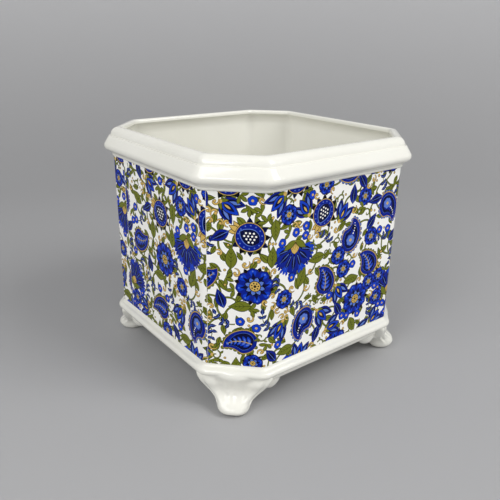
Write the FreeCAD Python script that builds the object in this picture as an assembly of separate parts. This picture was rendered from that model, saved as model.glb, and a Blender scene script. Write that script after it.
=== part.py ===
import FreeCAD, Part
import math
import os

from FreeCAD import Vector

# A square porcelain pot with cut corners, in millimetres.
# The origin is on the floor under the middle of the pot, and +Z is up. The front wall faces -Y.
# A half width is measured from the middle of the pot to a wall, and the corner faces move in and out with it.

# Walls
WALL_HALF = 74.5
CORNER_CUT = 23.7
CORNER_RADIUS = 5.0
WALL_THICKNESS = 3.8
INNER_CORNER_RADIUS = 8.0

# Heights, from the floor up
FOOT_HEIGHT = 17.0
SLAB_LIP_HEIGHT = 5.9
PRINT_RISE = 6.7
PRINT_HEIGHT = 99.5

# Base band
BAND_PROJECTION = 3.9
BAND_NOSE_RADIUS = 2.2

# Rim, from the bead above the print up to the lip
BEAD_RADIUS = 1.0
BEAD_TURN_DEGREES = 70.0
RIM_COVE_DEPTH = 0.35
RIM_PROJECTION = 5.5
RIM_NOSE_RADIUS = 3.0
RIM_NOSE_RISE = 7.2
RIM_NOSE_TURN_DEGREES = 60.0
RIM_SLOPE_DEGREES = 34.0
RIM_SLOPE_HEIGHT = 7.3
LIP_STEP_DEPTH = 0.4
LIP_HEIGHT = 3.2
LIP_RADIUS = 1.8
LIP_INNER_INSET = 5.7
LIP_EDGE_RADIUS = 1.5
LIP_EDGE_HEIGHT = 1.0
RIM_HOLLOW_DEPTH = 1.8
RIM_HOLLOW_RUN = 26.0

# Base slab
SLAB_LIP_INSET = 1.0
SLAB_LIP_RADIUS = 1.5
SLAB_SPIGOT_HEIGHT = 1.7
SPIGOT_CLEARANCE = 0.2
FLOOR_COVE_RADIUS = 2.0
FLOOR_COVE_LAND = 0.5
SLAB_THICKNESS = 4.2
SLAB_RIM_WIDTH = 15.0
SLAB_CORNER_PAD = 17.0

# Feet, as stations up the leg. Reaches and insets are measured from the face of the base band's nose.
SOLE_WIDTH = 14.6
SOLE_REACH = 2.2
SOLE_ROUNDING = 1.0
HEEL_INSET = 4.5
TOE_LEVEL = 4.0
TOE_WIDTH = 19.4
TOE_REACH = 5.6
INSTEP_LEVEL = 8.2
INSTEP_WIDTH = 22.8
INSTEP_REACH = 2.0
ANKLE_LEVEL = 12.4
ANKLE_WIDTH = 30.2
ANKLE_INSET = 1.4
KNEE_LEVEL = 17.6
KNEE_WIDTH = 39.4
KNEE_INSET = 1.2
SHOULDER_WIDTH = 43.4
FOOT_DEPTH = 9.0
WING_LENGTH = 17.5
WING_DROP = 6.6
WING_INSET = 1.6

# Printed transfers
CLOSING_STRIP_LENGTH = 88.7
SHEET_THICKNESS = 0.1
SEAM_GAP = 0.2

# How far a cutting shape runs past the piece that it cuts
OVERRUN = 5.0

SIDES = 8
TURN = 360.0 / SIDES
CORNER_FACE = (2 * WALL_HALF - CORNER_CUT) / math.sqrt(2)

BAND_UNDERSIDE = FOOT_HEIGHT + SLAB_LIP_HEIGHT
PRINT_BOTTOM = BAND_UNDERSIDE + PRINT_RISE
PRINT_TOP = PRINT_BOTTOM + PRINT_HEIGHT
RIM_NOSE_LEVEL = PRINT_TOP + RIM_NOSE_RISE
LIP_STEP_LEVEL = RIM_NOSE_LEVEL + RIM_SLOPE_HEIGHT
TOP = LIP_STEP_LEVEL + LIP_HEIGHT
FLOOR_TOP = BAND_UNDERSIDE + SLAB_SPIGOT_HEIGHT

CORE_HALF = WALL_HALF - CORNER_RADIUS
INNER_HALF = WALL_HALF - WALL_THICKNESS
INNER_CORE_HALF = INNER_HALF - INNER_CORNER_RADIUS
RIM_HALF = WALL_HALF + RIM_PROJECTION
BAND_HALF = WALL_HALF + BAND_PROJECTION
LIP_INNER_HALF = WALL_HALF - LIP_INNER_INSET
SLAB_HALF = WALL_HALF - SLAB_LIP_INSET


def face_distance(side, half):
    """Distance from the middle to one of the eight faces: even sides are walls, odd ones corner faces."""
    if side % 2 == 0:
        return half
    return CORNER_FACE + half - WALL_HALF


def corner(side, half):
    """Where a face meets the next one, going round from above against the clock."""
    angle = math.radians(side * TURN)
    step = math.radians(TURN)
    here = face_distance(side, half)
    there = face_distance(side + 1, half)
    along = (there - here * math.cos(step)) / math.sin(step)
    outward = Vector(math.cos(angle), math.sin(angle), 0)
    forward = Vector(-math.sin(angle), math.cos(angle), 0)
    return outward * here + forward * along


def octagon_prism(half, bottom, top):
    """Straight prism over the sharp-cornered outline."""
    points = [corner(side, half) + Vector(0, 0, bottom) for side in range(SIDES)]
    outline = Part.makePolygon(points + points[:1])
    return Part.Face(outline).extrude(Vector(0, 0, top - bottom))


def line(start, end):
    """Straight edge of a profile, between two points given as half width and height."""
    return Part.LineSegment(Vector(start[0], 0, start[1]), Vector(end[0], 0, end[1])).toShape()


def arc(centre, radius, first, last):
    """Round edge of a profile, between two angles in degrees from straight outwards."""
    points = []
    for degrees in (first, (first + last) / 2, last):
        angle = math.radians(degrees)
        points.append(Vector(centre[0] + radius * math.cos(angle), 0, centre[1] + radius * math.sin(angle)))
    return Part.Arc(*points).toShape()


def end_point(edge):
    """Half width and height of the point where a profile edge ends."""
    point = edge.valueAt(edge.LastParameter)
    return point.x, point.z


def cove(nose_centre, nose_radius, upright, rise):
    """Hollow curve that leaves a rounded nose and runs into an upright face at a height above the nose.

    The rise is negative for a cove under the nose. Gives the nose's angle, the cove's centre and radius.
    """
    inset = nose_centre[0] - upright
    radius = (inset ** 2 + rise ** 2 - nose_radius ** 2) / (2 * (nose_radius + inset))
    centre = (upright + radius, nose_centre[1] + rise)
    angle = math.degrees(math.atan2(rise, centre[0] - nose_centre[0]))
    return angle, centre, radius


def turned_round(edges, core_half):
    """Solid with a profile swept round the pot: straight along the faces, turned at the corners.

    The profile starts and ends on the core's outline, and the corners turn about the core's corners.
    """
    bottom = edges[0].Vertexes[0].Z
    top = end_point(edges[-1])[1]
    closing = line((core_half, top), (core_half, bottom))
    profile = Part.Face(Part.Wire(edges + [closing]))
    pieces = []
    for side in range(SIDES):
        start = corner(side - 1, core_half)
        end = corner(side, core_half)
        section = profile.copy()
        section.translate(Vector(-core_half, 0, 0))
        section.rotate(Vector(), Vector(0, 0, 1), side * TURN)
        section.translate(start)
        pieces.append(section.extrude(end - start))
        section.translate(end - start)
        pieces.append(section.revolve(end, Vector(0, 0, 1), TURN))
    core = octagon_prism(core_half, bottom, top)
    return core.multiFuse(pieces).removeSplitter()


def base_band():
    """Profile of the base band: flat underside, rounded nose and hollow curve up to the wall."""
    nose = (BAND_HALF - BAND_NOSE_RADIUS, BAND_UNDERSIDE + BAND_NOSE_RADIUS)
    angle, centre, radius = cove(nose, BAND_NOSE_RADIUS, WALL_HALF, PRINT_BOTTOM - nose[1])
    return [
        line((CORE_HALF, BAND_UNDERSIDE), (nose[0], BAND_UNDERSIDE)),
        arc(nose, BAND_NOSE_RADIUS, -90, angle),
        arc(centre, radius, 180 + angle, 180),
    ]


def rim():
    """Profile of the rim: bead, shallow cove, rounded nose, sloping fascia, small step and rounded lip."""
    bead = arc((WALL_HALF, PRINT_TOP + BEAD_RADIUS), BEAD_RADIUS, -90, BEAD_TURN_DEGREES)
    nose_centre = (RIM_HALF - RIM_NOSE_RADIUS, RIM_NOSE_LEVEL)
    nose = arc(nose_centre, RIM_NOSE_RADIUS, -RIM_NOSE_TURN_DEGREES, RIM_SLOPE_DEGREES)
    bead_end = bead.valueAt(bead.LastParameter)
    nose_start = nose.valueAt(nose.FirstParameter)
    across = nose_start - bead_end
    inward = Vector(-across.z, 0, across.x).normalize()
    deepest = (bead_end + nose_start) / 2 + inward * RIM_COVE_DEPTH
    slope = math.radians(RIM_SLOPE_DEGREES)
    nose_end = end_point(nose)
    step_half = nose_end[0] - (LIP_STEP_LEVEL - nose_end[1]) * math.tan(slope)
    lip_half = step_half - LIP_STEP_DEPTH
    lip_level = TOP - LIP_RADIUS
    lip_inset = (LIP_RADIUS + (lip_level - LIP_STEP_LEVEL) * math.sin(slope)) / math.cos(slope)
    lip = arc((lip_half - lip_inset, lip_level), LIP_RADIUS, RIM_SLOPE_DEGREES, 90)
    lip_start = lip.valueAt(lip.FirstParameter)
    return [
        bead,
        Part.Arc(bead_end, deepest, nose_start).toShape(),
        nose,
        line(nose_end, (step_half, LIP_STEP_LEVEL)),
        line((step_half, LIP_STEP_LEVEL), (lip_half, LIP_STEP_LEVEL)),
        line((lip_half, LIP_STEP_LEVEL), (lip_start.x, lip_start.z)),
        lip,
        line(end_point(lip), (CORE_HALF, TOP)),
    ]


def hollow():
    """Inside of the pot: straight walls, a draught out to the rim, and the hollow under the lip."""
    below = BAND_UNDERSIDE - OVERRUN
    above = TOP + OVERRUN
    draught_level = RIM_NOSE_LEVEL - RIM_HOLLOW_RUN
    widest = INNER_HALF + RIM_HOLLOW_DEPTH
    edge_level = TOP - LIP_EDGE_RADIUS
    under_lip = edge_level - LIP_EDGE_HEIGHT
    rise = under_lip - RIM_NOSE_LEVEL
    overhang = widest - LIP_INNER_HALF
    radius = (overhang ** 2 + rise ** 2) / (2 * overhang)
    turn = math.degrees(math.asin(rise / radius))
    edge_centre = (LIP_INNER_HALF + LIP_EDGE_RADIUS, edge_level)
    edges = [
        line((INNER_CORE_HALF, below), (INNER_HALF, below)),
        line((INNER_HALF, below), (INNER_HALF, draught_level)),
        line((INNER_HALF, draught_level), (widest, RIM_NOSE_LEVEL)),
        arc((widest - radius, RIM_NOSE_LEVEL), radius, 0, turn),
        line((LIP_INNER_HALF, under_lip), (LIP_INNER_HALF, edge_level)),
        arc(edge_centre, LIP_EDGE_RADIUS, 180, 90),
        line((edge_centre[0], TOP), (edge_centre[0], above)),
        line((edge_centre[0], above), (INNER_CORE_HALF, above)),
    ]
    return turned_round(edges, INNER_CORE_HALF)


def body_casting():
    """Drain-cast shell: walls, rim and base band in one, open at the top and over the slab."""
    wall = [line((WALL_HALF, PRINT_BOTTOM), (WALL_HALF, PRINT_TOP))]
    outside = turned_round(base_band() + wall + rim(), CORE_HALF)
    return outside.cut(hollow())


def slab_block():
    """Outer shape of the base slab: a lip under the walls and a coved spigot that goes up inside them."""
    rounding = (SLAB_HALF - SLAB_LIP_RADIUS, FOOT_HEIGHT + SLAB_LIP_RADIUS)
    lip = [
        line((CORE_HALF, FOOT_HEIGHT), (rounding[0], FOOT_HEIGHT)),
        arc(rounding, SLAB_LIP_RADIUS, -90, 0),
        line((SLAB_HALF, rounding[1]), (SLAB_HALF, BAND_UNDERSIDE)),
        line((SLAB_HALF, BAND_UNDERSIDE), (CORE_HALF, BAND_UNDERSIDE)),
    ]
    spigot_half = INNER_HALF - SPIGOT_CLEARANCE
    cove_half = spigot_half - FLOOR_COVE_LAND
    cove_top = FLOOR_TOP + FLOOR_COVE_RADIUS
    flat_half = cove_half - FLOOR_COVE_RADIUS
    spigot = [
        line((INNER_CORE_HALF, BAND_UNDERSIDE), (spigot_half, BAND_UNDERSIDE)),
        line((spigot_half, BAND_UNDERSIDE), (spigot_half, cove_top)),
        line((spigot_half, cove_top), (cove_half, cove_top)),
        arc((flat_half, cove_top), FLOOR_COVE_RADIUS, 0, -90),
        line((flat_half, FLOOR_TOP), (INNER_CORE_HALF, FLOOR_TOP)),
    ]
    return turned_round(lip, CORE_HALF).fuse(turned_round(spigot, INNER_CORE_HALF))


def base_slab():
    """Floor of the pot, hollowed underneath except at its edge and at the corner pads for the feet."""
    recess_half = SLAB_HALF - SLAB_RIM_WIDTH
    pad_face = face_distance(1, SLAB_HALF) - SLAB_CORNER_PAD
    reach = pad_face * math.sqrt(2) - recess_half
    points = []
    for quarter in range(SIDES // 2):
        for y in (-reach, reach):
            turned = Part.Vertex(recess_half, y, FOOT_HEIGHT - OVERRUN)
            turned.rotate(Vector(), Vector(0, 0, 1), 2 * TURN * quarter)
            points.append(turned.Point)
    outline = Part.makePolygon(points + points[:1])
    depth = FLOOR_TOP - SLAB_THICKNESS - FOOT_HEIGHT
    recess = Part.Face(outline).extrude(Vector(0, 0, depth + OVERRUN))
    return slab_block().cut(recess).removeSplitter()


# How round the leg is in plan, as a share of its smaller width.
LEG_ROUNDING_SHARE = 0.42


def leg_section(level, width, back, front):
    """Level outline of the leg: flat in front and behind, with rounded ends, about the corner's own line."""
    depth = front - back
    rounding = min(width, depth) * LEG_ROUNDING_SHARE
    half = width / 2
    middles = (
        (front - rounding, half - rounding),
        (back + rounding, half - rounding),
        (back + rounding, rounding - half),
        (front - rounding, rounding - half),
    )
    edges = []
    ends = []
    for quarter, (x, y) in enumerate(middles):
        points = []
        for degrees in (0, 45, 90):
            angle = math.radians(90 * quarter + degrees)
            points.append(Vector(x + rounding * math.cos(angle), y + rounding * math.sin(angle), level))
        edges.append(Part.Arc(*points).toShape())
        ends.append((points[0], points[2]))
    for quarter in range(len(middles)):
        here = ends[quarter][1]
        there = ends[(quarter + 1) % len(middles)][0]
        edges.insert(2 * quarter + 1, Part.LineSegment(here, there).toShape())
    return Part.Wire(edges)


def leg():
    """Scrolled leg under the corner face on the +X line: wide shoulder, drawn-in ankle and flared toe."""
    nose_face = face_distance(1, BAND_HALF)
    back = face_distance(1, SLAB_HALF) - FOOT_DEPTH
    heel = back + HEEL_INSET
    stations = (
        (-SOLE_ROUNDING, SOLE_WIDTH - 2 * SOLE_ROUNDING, heel + SOLE_ROUNDING, SOLE_REACH - SOLE_ROUNDING),
        (0, SOLE_WIDTH, heel, SOLE_REACH),
        (TOE_LEVEL, TOE_WIDTH, back, TOE_REACH),
        (INSTEP_LEVEL, INSTEP_WIDTH, back, INSTEP_REACH),
        (ANKLE_LEVEL, ANKLE_WIDTH, back, -ANKLE_INSET),
        (KNEE_LEVEL, KNEE_WIDTH, back, -KNEE_INSET),
        (BAND_UNDERSIDE, SHOULDER_WIDTH, back, -BAND_NOSE_RADIUS),
    )
    sections = []
    for level, width, behind, reach in stations:
        sections.append(leg_section(level, width, behind, nose_face + reach))
    stem = Part.makeLoft(sections, True, False)
    below = Part.makeBox(2 * nose_face, 2 * nose_face, OVERRUN, Vector(0, -nose_face, -OVERRUN))
    return stem.cut(below)


# A wing's lower edge, as shares of its length from the corner and of its drop: a groove beside the knee,
# then a round lobe that dies away along the wall.
WING_LENGTH_SHARES = (0.0, 0.2, 0.32, 0.5, 0.72, 0.92, 1.0)
WING_DROP_SHARES = (1.0, 0.95, 0.86, 1.0, 0.86, 0.44, 0.0)


def wing():
    """Turned lobe beside the leg under the +X wall, starting at the end of the corner face and running -Y."""
    start = corner(0, SLAB_HALF)
    middle = start.x - WING_INSET - WING_DROP
    points = []
    for length_share, drop_share in zip(WING_LENGTH_SHARES, WING_DROP_SHARES):
        y = start.y - WING_LENGTH * length_share
        points.append(Vector(middle, y, FOOT_HEIGHT - WING_DROP * drop_share))
    curve = Part.BSplineCurve()
    curve.interpolate(points)
    root = Vector(middle, start.y, FOOT_HEIGHT)
    edges = [
        Part.LineSegment(root, points[0]).toShape(),
        curve.toShape(),
        Part.LineSegment(points[-1], root).toShape(),
    ]
    profile = Part.Face(Part.Wire(edges))
    profile.rotate(root, Vector(0, 1, 0), -90)
    return profile.revolve(root, Vector(0, 1, 0), 180)


def foot(slab):
    """One press-moulded foot under the corner between the +X and +Y walls, fitted round the slab's lip."""
    stem = leg()
    stem.rotate(Vector(), Vector(0, 0, 1), TURN)
    near = wing()
    far = near.mirror(Vector(), Vector(1, -1, 0))
    return stem.fuse([near, far]).cut(slab).removeSplitter()


def transfer(start, end):
    """Printed sheet on the outside of the walls, between two distances round the pot.

    Distances run against the clock from the front left corner face's left edge.
    """
    upright = Vector(0, 0, 1)
    section_edges = [
        line((WALL_HALF, PRINT_BOTTOM), (WALL_HALF + SHEET_THICKNESS, PRINT_BOTTOM)),
        line((WALL_HALF + SHEET_THICKNESS, PRINT_BOTTOM), (WALL_HALF + SHEET_THICKNESS, PRINT_TOP)),
        line((WALL_HALF + SHEET_THICKNESS, PRINT_TOP), (WALL_HALF, PRINT_TOP)),
        line((WALL_HALF, PRINT_TOP), (WALL_HALF, PRINT_BOTTOM)),
    ]
    profile = Part.Face(Part.Wire(section_edges))
    profile.translate(Vector(-CORE_HALF, 0, 0))
    bend = CORNER_RADIUS * math.radians(TURN)
    pieces = []
    travelled = 0.0
    for step in range(SIDES):
        side = step + FIRST_SHEET_SIDE
        first = corner(side - 1, CORE_HALF)
        last = corner(side, CORE_HALF)
        along = last - first
        run = along.Length
        begin = max(start - travelled, 0)
        finish = min(end - travelled, run)
        if finish > begin:
            piece = profile.copy()
            piece.rotate(Vector(), upright, side * TURN)
            piece.translate(first + along * (begin / run))
            pieces.append(piece.extrude(along * ((finish - begin) / run)))
        travelled += run
        begin = max(start - travelled, 0)
        finish = min(end - travelled, bend)
        if finish > begin:
            piece = profile.copy()
            piece.rotate(Vector(), upright, side * TURN + TURN * begin / bend)
            piece.translate(last)
            pieces.append(piece.revolve(last, upright, TURN * (finish - begin) / bend))
        travelled += bend
    if len(pieces) == 1:
        return pieces[0]
    return pieces[0].multiFuse(pieces[1:]).removeSplitter()


# The front left corner face, where the first sheet starts.
FIRST_SHEET_SIDE = 5
SHEET_NAMES = (
    "transfer_sheet_first",
    "transfer_sheet_second",
    "transfer_sheet_third",
    "transfer_closing_strip",
)
# Quarter turns from the corner between the +X and +Y walls.
FOOT_NAMES = ("foot_back_right", "foot_back_left", "foot_front_left", "foot_front_right")


def girth():
    """Length of the printed band once round the walls."""
    straight = 0.0
    for side in range(SIDES):
        straight += (corner(side, CORE_HALF) - corner(side - 1, CORE_HALF)).Length
    return straight + 2 * math.pi * CORNER_RADIUS


def write(name, shape):
    """Saves one piece as a single solid."""
    solids = shape.Solids
    if len(solids) != 1 or not solids[0].isValid():
        raise ValueError(name + " is not one sound solid")
    solids[0].exportStep("parts/" + name + ".step")
    box = solids[0].BoundBox
    print(name, round(solids[0].Volume), "mm3", [round(v, 2) for v in (box.XMin, box.XMax, box.YMin, box.YMax,
                                                                        box.ZMin, box.ZMax)])


def main():
    os.makedirs("parts", exist_ok=True)
    slab = base_slab()
    write("body_casting", body_casting())
    write("base_slab", slab)
    first_foot = foot(slab_block())
    for quarter, name in enumerate(FOOT_NAMES):
        piece = first_foot.copy()
        piece.rotate(Vector(), Vector(0, 0, 1), 2 * TURN * quarter)
        write(name, piece)
    sheet_length = (girth() - CLOSING_STRIP_LENGTH) / (len(SHEET_NAMES) - 1)
    for index, name in enumerate(SHEET_NAMES):
        start = sheet_length * index
        end = min(start + sheet_length, girth()) - SEAM_GAP
        write(name, transfer(start, end))


main()
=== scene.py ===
import bisect
import math
import random

import bmesh
import bpy
import numpy as np
from mathutils import Matrix, Vector
from mathutils.geometry import delaunay_2d_cdt


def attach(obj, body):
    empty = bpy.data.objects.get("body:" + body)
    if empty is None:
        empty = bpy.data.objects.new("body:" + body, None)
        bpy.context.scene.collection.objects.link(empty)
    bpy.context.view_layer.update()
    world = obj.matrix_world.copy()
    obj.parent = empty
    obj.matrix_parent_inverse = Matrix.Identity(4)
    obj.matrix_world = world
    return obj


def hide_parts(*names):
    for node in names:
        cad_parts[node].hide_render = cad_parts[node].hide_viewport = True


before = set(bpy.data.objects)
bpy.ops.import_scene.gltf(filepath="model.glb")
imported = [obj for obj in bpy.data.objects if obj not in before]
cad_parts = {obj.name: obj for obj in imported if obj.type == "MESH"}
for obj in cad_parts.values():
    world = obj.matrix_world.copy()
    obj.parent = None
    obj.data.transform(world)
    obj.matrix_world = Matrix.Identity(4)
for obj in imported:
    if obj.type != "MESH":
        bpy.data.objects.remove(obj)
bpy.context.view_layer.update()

# Body casting: the four walls, the corner faces, the moulded rim and the base band of the pot.
# It is one drain-cast shell of white porcelain under a clear glossy glaze, open at the top.
# Sizes are in millimetres. Each ring of the casting keeps its distance from the walls all the way round.
MM = 0.001
WALL_HALF = 74.5
CORNER_FACE_EXTRA = 14.098
OUTER_CORE = 69.5
INNER_CORE = 62.7
ARC_STEPS = 9
SUPPORT = 0.6
BAND_UNDERSIDE = 22.9
PRINT_BOTTOM = 29.6
PRINT_TOP = 129.1
TOP = 146.8


def octagon(wall, corner_face, rounding, level):
    """Ring of points round the pot, with rounded corners and a close point beside each rounding."""
    points = []
    for side in range(8):
        here, there = (wall, corner_face) if side % 2 == 0 else (corner_face, wall)
        angle = math.radians(45 * side)
        along = (there - rounding - (here - rounding) * math.cos(math.pi / 4)) / math.sin(math.pi / 4)
        outward = Vector((math.cos(angle), math.sin(angle), 0))
        forward = Vector((-math.sin(angle), math.cos(angle), 0))
        centre = outward * (here - rounding) + forward * along + Vector((0, 0, level))
        points.append((centre + outward * rounding - forward * SUPPORT) * MM)
        for step in range(ARC_STEPS + 1):
            turn = angle + math.pi / 4 * step / ARC_STEPS
            points.append((centre + Vector((math.cos(turn), math.sin(turn), 0)) * rounding) * MM)
        turn = angle + math.pi / 4
        last = Vector((math.cos(turn), math.sin(turn), 0)) * rounding
        points.append((centre + last + Vector((-math.sin(turn), math.cos(turn), 0)) * SUPPORT) * MM)
    return points


def rings_along(profile, core):
    """Rings at a profile's half widths and levels, all rounded about one core."""
    return [octagon(half, half + CORNER_FACE_EXTRA, half - core, level) for half, level in profile]


def arc(centre, radius, first, last, steps):
    """Points of a profile along an arc, as half width and level, between two angles in degrees."""
    points = []
    for step in range(steps + 1):
        angle = math.radians(first + (last - first) * step / steps)
        points.append((centre[0] + radius * math.cos(angle), centre[1] + radius * math.sin(angle)))
    return points


def pulled(name, rings, ends):
    """Draws the first ring and pulls it on from ring to ring. Its ends are joined, capped or left open."""
    bpy.ops.object.select_all(action="DESELECT")
    bpy.ops.mesh.primitive_circle_add(vertices=len(rings[0]), radius=WALL_HALF * MM)
    piece = bpy.context.object
    piece.name = name
    piece.data.name = name
    bpy.ops.object.mode_set(mode="EDIT")
    mesh = bmesh.from_edit_mesh(piece.data)
    ring_of = {}
    for index, vertex in enumerate(mesh.verts):
        vertex.co = rings[0][index]
        ring_of[tuple(vertex.co)] = index
    for ring in rings[1:]:
        bpy.ops.mesh.extrude_region_move()
        mesh = bmesh.from_edit_mesh(piece.data)
        new_ring = {}
        for vertex in mesh.verts:
            if vertex.select:
                index = ring_of[tuple(vertex.co)]
                vertex.co = ring[index]
                new_ring[tuple(vertex.co)] = index
        ring_of = new_ring
    bpy.ops.mesh.select_all(action="DESELECT")
    bpy.ops.mesh.select_non_manifold()
    if ends == "joined":
        bpy.ops.mesh.bridge_edge_loops()
    elif ends == "capped":
        bpy.ops.mesh.fill_holes(sides=0)
    bpy.ops.mesh.select_all(action="SELECT")
    bpy.ops.mesh.normals_make_consistent(inside=False)
    bpy.ops.object.mode_set(mode="OBJECT")
    return piece


def through(first, middle, last, steps):
    """Points of a profile along the arc through three points."""
    (ax, ay), (bx, by), (cx, cy) = first, middle, last
    d = 2 * (ax * (by - cy) + bx * (cy - ay) + cx * (ay - by))
    a, b, c = ax * ax + ay * ay, bx * bx + by * by, cx * cx + cy * cy
    x = (a * (by - cy) + b * (cy - ay) + c * (ay - by)) / d
    y = (a * (cx - bx) + b * (ax - cx) + c * (bx - ax)) / d
    start = math.degrees(math.atan2(ay - y, ax - x))
    end = math.degrees(math.atan2(cy - y, cx - x))
    return arc((x, y), math.hypot(ax - x, ay - y), start, end, steps)


def cove(nose, nose_radius, upright, level, steps):
    """Rounded nose and the hollow curve that leaves it for an upright face, from the nose's front onwards."""
    inset = nose[0] - upright
    rise = level - nose[1]
    radius = (inset ** 2 + rise ** 2 - nose_radius ** 2) / (2 * (nose_radius + inset))
    angle = math.degrees(math.atan2(rise, upright + radius - nose[0]))
    hollow = arc((upright + radius, level), radius, 180 + angle, 180, steps)
    return arc(nose, nose_radius, 0, angle, steps)[:-1] + hollow


INNER_HALF = 70.7
DRAUGHT_START = 110.3
HOLLOW_HALF = 72.5
HOLLOW_LEVEL = 136.3
LIP_INNER_HALF = 68.8
UNDER_LIP = 144.3
LIP_EDGE_RADIUS = 1.5
overhang = HOLLOW_HALF - LIP_INNER_HALF
hollow_rise = UNDER_LIP - HOLLOW_LEVEL
hollow_radius = (overhang ** 2 + hollow_rise ** 2) / (2 * overhang)
hollow_turn = math.degrees(math.asin(hollow_rise / hollow_radius))
inside = [(INNER_HALF, BAND_UNDERSIDE), (INNER_HALF, BAND_UNDERSIDE + SUPPORT), (INNER_HALF, DRAUGHT_START)]
inside += arc((HOLLOW_HALF - hollow_radius, HOLLOW_LEVEL), hollow_radius, 0, hollow_turn, 14)
inside += arc((LIP_INNER_HALF + LIP_EDGE_RADIUS, TOP - LIP_EDGE_RADIUS), LIP_EDGE_RADIUS, 180, 90, 7)

RIM_HALF = 80.0
RIM_NOSE_RADIUS = 3.0
RIM_NOSE_LEVEL = 135.7
RIM_NOSE_TURN = 60
RIM_SLOPE = 32.5
RIM_COVE_DEPTH = 0.35
BEAD_RADIUS = 1.0
BEAD_TURN = 25
LIP_MIDDLE = 70.6
LIP_WIDTH = 5.0
LIP_STEP_LEVEL = 141.9
LIP_STEP_RADIUS = 0.9
slope = math.radians(RIM_SLOPE)
nose = arc((RIM_HALF - RIM_NOSE_RADIUS, RIM_NOSE_LEVEL), RIM_NOSE_RADIUS, RIM_SLOPE, -RIM_NOSE_TURN, 12)
bead = arc((WALL_HALF, PRINT_TOP + BEAD_RADIUS), BEAD_RADIUS, BEAD_TURN, -90, 12)
step_half = nose[0][0] - (LIP_STEP_LEVEL - nose[0][1]) * math.tan(slope)
lip_height = TOP - LIP_STEP_LEVEL
roll = arc((0, 0), 1, 90, 0, 12)
outside = [(LIP_MIDDLE + LIP_WIDTH * out, TOP - lip_height * (1 - up)) for out, up in roll]
step_middle = step_half - LIP_STEP_RADIUS * (1 - math.sin(slope)) / math.cos(slope)
outside += arc((step_middle, LIP_STEP_LEVEL - LIP_STEP_RADIUS), LIP_STEP_RADIUS, 90, RIM_SLOPE, 5)
across = Vector(nose[-1]) - Vector(bead[0])
deepest = (Vector(nose[-1]) + Vector(bead[0])) / 2 + across.orthogonal().normalized() * RIM_COVE_DEPTH
outside += nose + through(nose[-1], deepest, bead[0], 8)[1:-1] + bead
outside += [(WALL_HALF, PRINT_TOP - SUPPORT), (WALL_HALF, PRINT_BOTTOM + SUPPORT)]

BAND_HALF = 78.4
BAND_NOSE_RADIUS = 2.2
band_nose = (BAND_HALF - BAND_NOSE_RADIUS, BAND_UNDERSIDE + BAND_NOSE_RADIUS)
outside += cove(band_nose, BAND_NOSE_RADIUS, WALL_HALF, PRINT_BOTTOM, 9)[::-1]
outside += arc(band_nose, BAND_NOSE_RADIUS, 0, -90, 9)[1:]

rings = rings_along(inside, INNER_CORE) + rings_along(outside, OUTER_CORE)
body = pulled("glazed_body", rings, "joined")

GLAZE_ROUNDING = 0.25
SHARP_ANGLE = 35
SMOOTH_ANGLE = 40


def choose(piece):
    """Selects one piece alone and makes it the active one."""
    bpy.ops.object.select_all(action="DESELECT")
    piece.select_set(True)
    bpy.context.view_layer.objects.active = piece


def smooth(angle):
    """Shades the chosen piece smooth, apart from edges that turn by more than an angle."""
    bpy.ops.object.shade_smooth_by_angle(angle=math.radians(angle))


def softened(piece):
    """Rounds a piece's sharp edges, as the glaze does, and shades it smooth."""
    bevel = piece.modifiers.new("glaze rounding", "BEVEL")
    bevel.width = GLAZE_ROUNDING * MM
    bevel.segments = 3
    bevel.limit_method = "ANGLE"
    bevel.angle_limit = math.radians(SHARP_ANGLE)
    choose(piece)
    bpy.ops.object.modifier_apply(modifier=bevel.name)
    smooth(SMOOTH_ANGLE)


def paint(red, green, blue):
    """Colour for a shader from the numbers of a colour picker, 0 to 255."""
    shares = [value / 255 for value in (red, green, blue)]
    linear = [s / 12.92 if s <= 0.04045 else ((s + 0.055) / 1.055) ** 2.4 for s in shares]
    return (*linear, 1.0)


def glazed(name, colour, roughness, gloss):
    """Material under the clear glaze: a plain colour with an even, wet-looking gloss."""
    material = bpy.data.materials.new(name)
    material.use_nodes = True
    shader = material.node_tree.nodes["Principled BSDF"]
    shader.inputs["Base Color"].default_value = colour
    shader.inputs["Roughness"].default_value = roughness
    shader.inputs["IOR"].default_value = 1.52
    shader.inputs["Specular IOR Level"].default_value = gloss
    return material


# The glaze pools a little warmer in places and has a faint ripple.
MEAN_GLAZE = paint(239, 238, 229)
THIN_GLAZE = paint(243, 242, 234)
POOLED_GLAZE = paint(233, 232, 221)
RIPPLE_HEIGHT = 0.4
porcelain = glazed("glazed porcelain", MEAN_GLAZE, roughness=0.07, gloss=0.5)
nodes, links = porcelain.node_tree.nodes, porcelain.node_tree.links
place = nodes.new("ShaderNodeTexCoord")
pooling = nodes.new("ShaderNodeTexNoise")
pooling.inputs["Scale"].default_value = 22.0
pooling.inputs["Detail"].default_value = 3.0
tint = nodes.new("ShaderNodeMix")
tint.data_type = "RGBA"
tint.inputs["A"].default_value = THIN_GLAZE
tint.inputs["B"].default_value = POOLED_GLAZE
ripple = nodes.new("ShaderNodeTexNoise")
ripple.inputs["Scale"].default_value = 170.0
ripple.inputs["Detail"].default_value = 1.0
swell = nodes.new("ShaderNodeBump")
swell.inputs["Strength"].default_value = 0.12
swell.inputs["Distance"].default_value = RIPPLE_HEIGHT * MM
links.new(place.outputs["Object"], pooling.inputs["Vector"])
links.new(place.outputs["Object"], ripple.inputs["Vector"])
links.new(pooling.outputs["Fac"], tint.inputs["Factor"])
links.new(tint.outputs["Result"], nodes["Principled BSDF"].inputs["Base Color"])
links.new(ripple.outputs["Fac"], swell.inputs["Height"])
links.new(swell.outputs["Normal"], nodes["Principled BSDF"].inputs["Normal"])
softened(body)
body.data.materials.append(porcelain)
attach(body, "root")
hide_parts("body_casting")


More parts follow.
